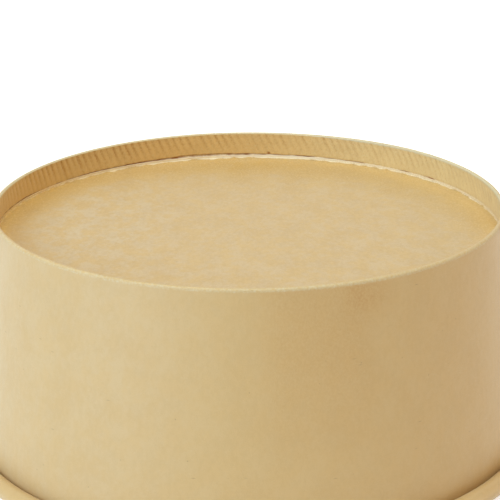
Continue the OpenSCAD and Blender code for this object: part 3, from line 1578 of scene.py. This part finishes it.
    def _colour(self, bench: Bench, pulp: dict, crush: Socket,
                marks: dict[Mark, Socket]) -> Socket:
        """Lays the board's colours over each other.

        Args:
            bench: The material's bench.
            pulp: The pulp group's outputs.
            crush: Mask of the crushed skin and the painted highlights.
            marks: The mesh's own masks.

        Returns:
            The colour.
        """
        warm = bench.math("MULTIPLY", bench.step(pulp["Hue"], *self.hue_step),
                          bench.math("MULTIPLY_ADD", marks[Mark.PRESSED],
                                     self.pressed_hue - self.hue_share, self.hue_share))
        dark = bench.math("MULTIPLY", bench.step(pulp["Cloud"], *self.cloud_step),
                          self.cloud_share)
        mottled = bench.math("MULTIPLY_ADD", marks[Mark.PRESSED], self.grain_share,
                             self.mottle_share)
        darker, paler = (bench.math("MULTIPLY", bench.step(pulp["Grain"], *step), mottled)
                         for step in (self.dark_step, self.light_step))
        stroke = bench.math("MULTIPLY", marks[Mark.GROOVE],
                            bench.step(pulp["Grain"], *self.stroke_step, *self.stroke_ends))
        edge = bench.math("MULTIPLY", marks[Mark.PRESSED],
                          bench.math("SUBTRACT", 1.0, marks[Mark.PRESSED]))
        blotch = bench.step(pulp["Hue"], *self.blotch_step, *self.blotch_ends)
        pressed = bench.math("MULTIPLY_ADD", edge, blotch, marks[Mark.PRESSED])
        # Painted light and shade among these layers: the pressed band on the disc, painted light,
        # painted pale light, shade in the grooves, highlights in the crushed skin, and the gap's
        # shade.
        colour = self.body
        for share, weight, over in ((marks[Mark.DRY], 1.0, self.dry),
                                    (pressed, 1.0, self.pressed),
                                    (marks[Mark.FADED], 1.0, self.faded),
                                    (warm, 1.0, self.warm), (dark, 1.0, self.deep),
                                    (darker, 1.0, self.deep), (paler, 1.0, self.pale),
                                    (pulp["Fibre"], self.fibre_share, self.pale),
                                    (pulp["Speck"], self.speck_share, self.speck),
                                    (stroke, self.groove_share, self.burnish_and_shade),
                                    (crush, self.crush_share, self.pale),
                                    (marks[Mark.GAP], 1.0, self.gap),
                                    (marks[Mark.RAW], 1.0, self.raw)):
            colour = bench.mix(bench.math("MULTIPLY", share, weight), colour, over)
        return colour

    @staticmethod
    def _group(bench: Bench, tree: bpy.types.NodeTree,
               **inputs: object) -> dict[str, Socket]:
        """Places a node group in the material and wires its inputs.

        Args:
            bench: The material's bench.
            tree: The group.
            inputs: Value or socket of each input, by name.

        Returns:
            The group's outputs, by name.
        """
        node = bench.node("Group", node_tree=tree)
        for name, value in inputs.items():
            bench.put(node.inputs[name], value)
        return dict(node.outputs.items())


def wheel_pressed(groups: BoardGroups) -> BoardFinish:
    """The finish of the side sheet, whose hem a wheel has pressed.

    Args:
        groups: The node groups that the board's materials share.

    Returns:
        The finish.
    """
    return BoardFinish(groups, body=(0.596, 0.415, 0.190), pale=(0.64, 0.60, 0.43),
                       hue_share=0.38, cloud_share=0.16, pressed=(0.768, 0.52, 0.201),
                       faded=(0.83, 0.68, 0.36), pressed_hue=0.12, fibre_share=0.1)


def drawn(groups: BoardGroups) -> BoardFinish:
    """The finish of the base, drawn into a dish.

    Args:
        groups: The node groups that the board's materials share.

    Returns:
        The finish.
    """
    return BoardFinish(groups, body=(0.594, 0.426, 0.216), pale=(0.95, 0.85, 0.62),
                       hue_share=1.0, cloud_share=0.3, warm=(0.596, 0.401, 0.152),
                       mottle_share=0.05)


@dataclass(frozen=True)
class Lamp:
    """A soft square light.

    Attributes:
        name: Its name.
        place: Where it is.
        power: In watts.
        tint: Its colour.
        size: Its side, in metres.
    """

    name: str
    place: tuple[float, float, float]
    power: float
    tint: Colour
    size: float = 0.6

    def hang(self, target: Vector) -> None:
        """Hangs the lamp and turns it towards a point.

        Args:
            target: The point.
        """
        data = bpy.data.lights.new(self.name, "AREA")
        data.shape = "SQUARE"
        data.size = self.size
        data.energy = self.power
        data.color = self.tint
        lamp = bpy.data.objects.new(self.name, data)
        lamp.location = self.place
        lamp.rotation_euler = (target - Vector(self.place)).to_track_quat("-Z", "Y").to_euler()
        bpy.context.scene.collection.objects.link(lamp)


def spun(one: Vector, two: Vector, angle: float) -> tuple[Vector, Vector]:
    """Two vectors at right angles, turned in their own plane."""
    return (one * math.cos(angle) - two * math.sin(angle),
            one * math.sin(angle) + two * math.cos(angle))


@dataclass
class Studio:
    """The floor, the light and the camera.

    Attributes:
        sizes: The bowl's sizes.
        lens: Focal length, in millimetres.
        sensor: Width of the sensor, in millimetres.
        distance: From the camera to the middle of the base ring's free edge.
        elevation: Of the camera above that point, in radians.
        yaw: The camera's turn to the right of it.
        pitch: The camera's turn above it.
        roll: The camera's turn about its own axis.
        floor_size: Side of the floor.
        world: Strength of the light from all round.
        world_tint: Its colour.
        lamps: The soft lamps.
        floor_lift: What the camera sees added to the floor's own brightness.
    """

    sizes: BowlSizes
    lens: float = 121.33
    sensor: float = 36.0
    distance: float = 0.4219
    elevation: float = math.radians(17.5647)
    yaw: float = math.radians(0.0447)
    pitch: float = math.radians(-1.7017)
    roll: float = math.radians(0.3193)
    floor_size: float = 6.0
    world: float = 0.25
    world_tint: Colour = (1.2, 1.0, 0.8)
    lamps: tuple[Lamp, ...] = (
        Lamp("key", (-0.65, -0.6, 0.6), 4.1, (0.8, 1.0, 1.2)),
        Lamp("low_key", (-0.7, -0.65, 0.26), 2.65, (0.8, 1.0, 1.2)),
        Lamp("fill", (0.95, -0.15, 0.24), 1.6, (1.25, 0.95, 0.65)),
        Lamp("top", (0.0, 0.0, 1.1), 6.65, (0.97, 1.0, 0.8)),
    )
    floor_lift: float = 0.6

    def camera(self) -> bpy.types.Object:
        """Sets the camera where the photograph was taken from.

        Returns:
            The camera.
        """
        right = Vector((1, 0, 0))
        ahead = Vector((0, math.cos(self.elevation), -math.sin(self.elevation)))
        up = right.cross(ahead)
        place = Vector((0, 0, self.sizes.height)) - self.distance * ahead
        right, ahead = spun(right, ahead, self.yaw)
        up, ahead = spun(up, ahead, self.pitch)
        right, up = spun(right, up, self.roll)
        data = bpy.data.cameras.new("camera")
        data.lens = self.lens
        data.sensor_width = self.sensor
        data.clip_start = 0.01
        data.clip_end = 20
        camera = bpy.data.objects.new("camera", data)
        turn = Matrix((right, up, -ahead)).transposed()
        camera.matrix_world = Matrix.Translation(place) @ turn.to_4x4()
        bpy.context.scene.collection.objects.link(camera)
        bpy.context.scene.camera = camera
        return camera

    def floor(self) -> bpy.types.Object:
        """Lays a plain pale floor that the bowl rests on.

        Returns:
            The floor, which isn't part of the object.
        """
        half = self.floor_size / 2
        mesh = bpy.data.meshes.new("floor")
        corners = [(-half, -half, 0), (half, -half, 0), (half, half, 0), (-half, half, 0)]
        mesh.from_pydata(corners, [], [(0, 1, 2, 3)])
        floor = bpy.data.objects.new("floor", mesh)
        bpy.context.scene.collection.objects.link(floor)
        made = bpy.data.materials.new("floor")
        made.use_nodes = True
        bench = Bench(made.node_tree)
        shader = made.node_tree.nodes["Principled BSDF"]
        shader.inputs["Base Color"].default_value = (0.88, 0.88, 0.88, 1)
        shader.inputs["Roughness"].default_value = 0.9
        shader.inputs["Specular IOR Level"].default_value = 0.1
        shader.inputs["Emission Color"].default_value = (1, 1, 1, 1)
        bench.put(shader.inputs["Emission Strength"],
                  bench.math("MULTIPLY", self._seen(bench), self.floor_lift))
        mesh.materials.append(made)
        return floor

    @staticmethod
    def _seen(bench: Bench) -> Socket:
        """Finds the rays that show the floor or the sky as a picture.

        Args:
            bench: The bench of the floor's shader or the sky's.

        Returns:
            A socket that is 1 for such rays, and 0 for those that light.
        """
        path = bench.node("LightPath").outputs
        seen = bench.math("MAXIMUM", path["Is Camera Ray"], path["Is Glossy Ray"])
        return bench.math("MAXIMUM", seen, path["Is Transmission Ray"])

    def light(self) -> None:
        """Sets the soft light of the studio."""
        world = bpy.data.worlds.new("studio")
        bpy.context.scene.world = world
        world.use_nodes = True
        bench = Bench(world.node_tree)
        sky = world.node_tree.nodes["Background"]
        seen = self._seen(bench)
        bench.put(sky.inputs["Color"], bench.mix(seen, self.world_tint, (1.0, 1.0, 1.0)))
        bench.put(sky.inputs["Strength"],
                  bench.math("MULTIPLY_ADD", seen, 1.0 - self.world, self.world))
        target = Vector((0, 0, self.sizes.height))
        for lamp in self.lamps:
            lamp.hang(target)


def main() -> None:
    """Builds and dresses the bowl and its studio."""
    logging.basicConfig(level=logging.INFO, format="%(name)s: %(message)s")
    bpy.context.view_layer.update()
    wall_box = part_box("side_wall")
    sizes = BowlSizes(rim_r=wall_box[1].x, full_height=wall_box[1].z)
    studio = Studio(sizes)
    studio.camera()
    LOG.info("camera set")
    groups = BoardGroups()
    for part, finish in ((SideWall(sizes), wheel_pressed(groups)),
                         (BaseDisc(sizes), drawn(groups))):
        piece = part.build()
        part.dress(piece, finish)
        LOG.info("%s: %d faces", piece.name, len(piece.data.polygons))
    studio.floor()
    studio.light()
    bpy.context.scene.view_settings.view_transform = "Standard"


if __name__ == "__main__":
    main()
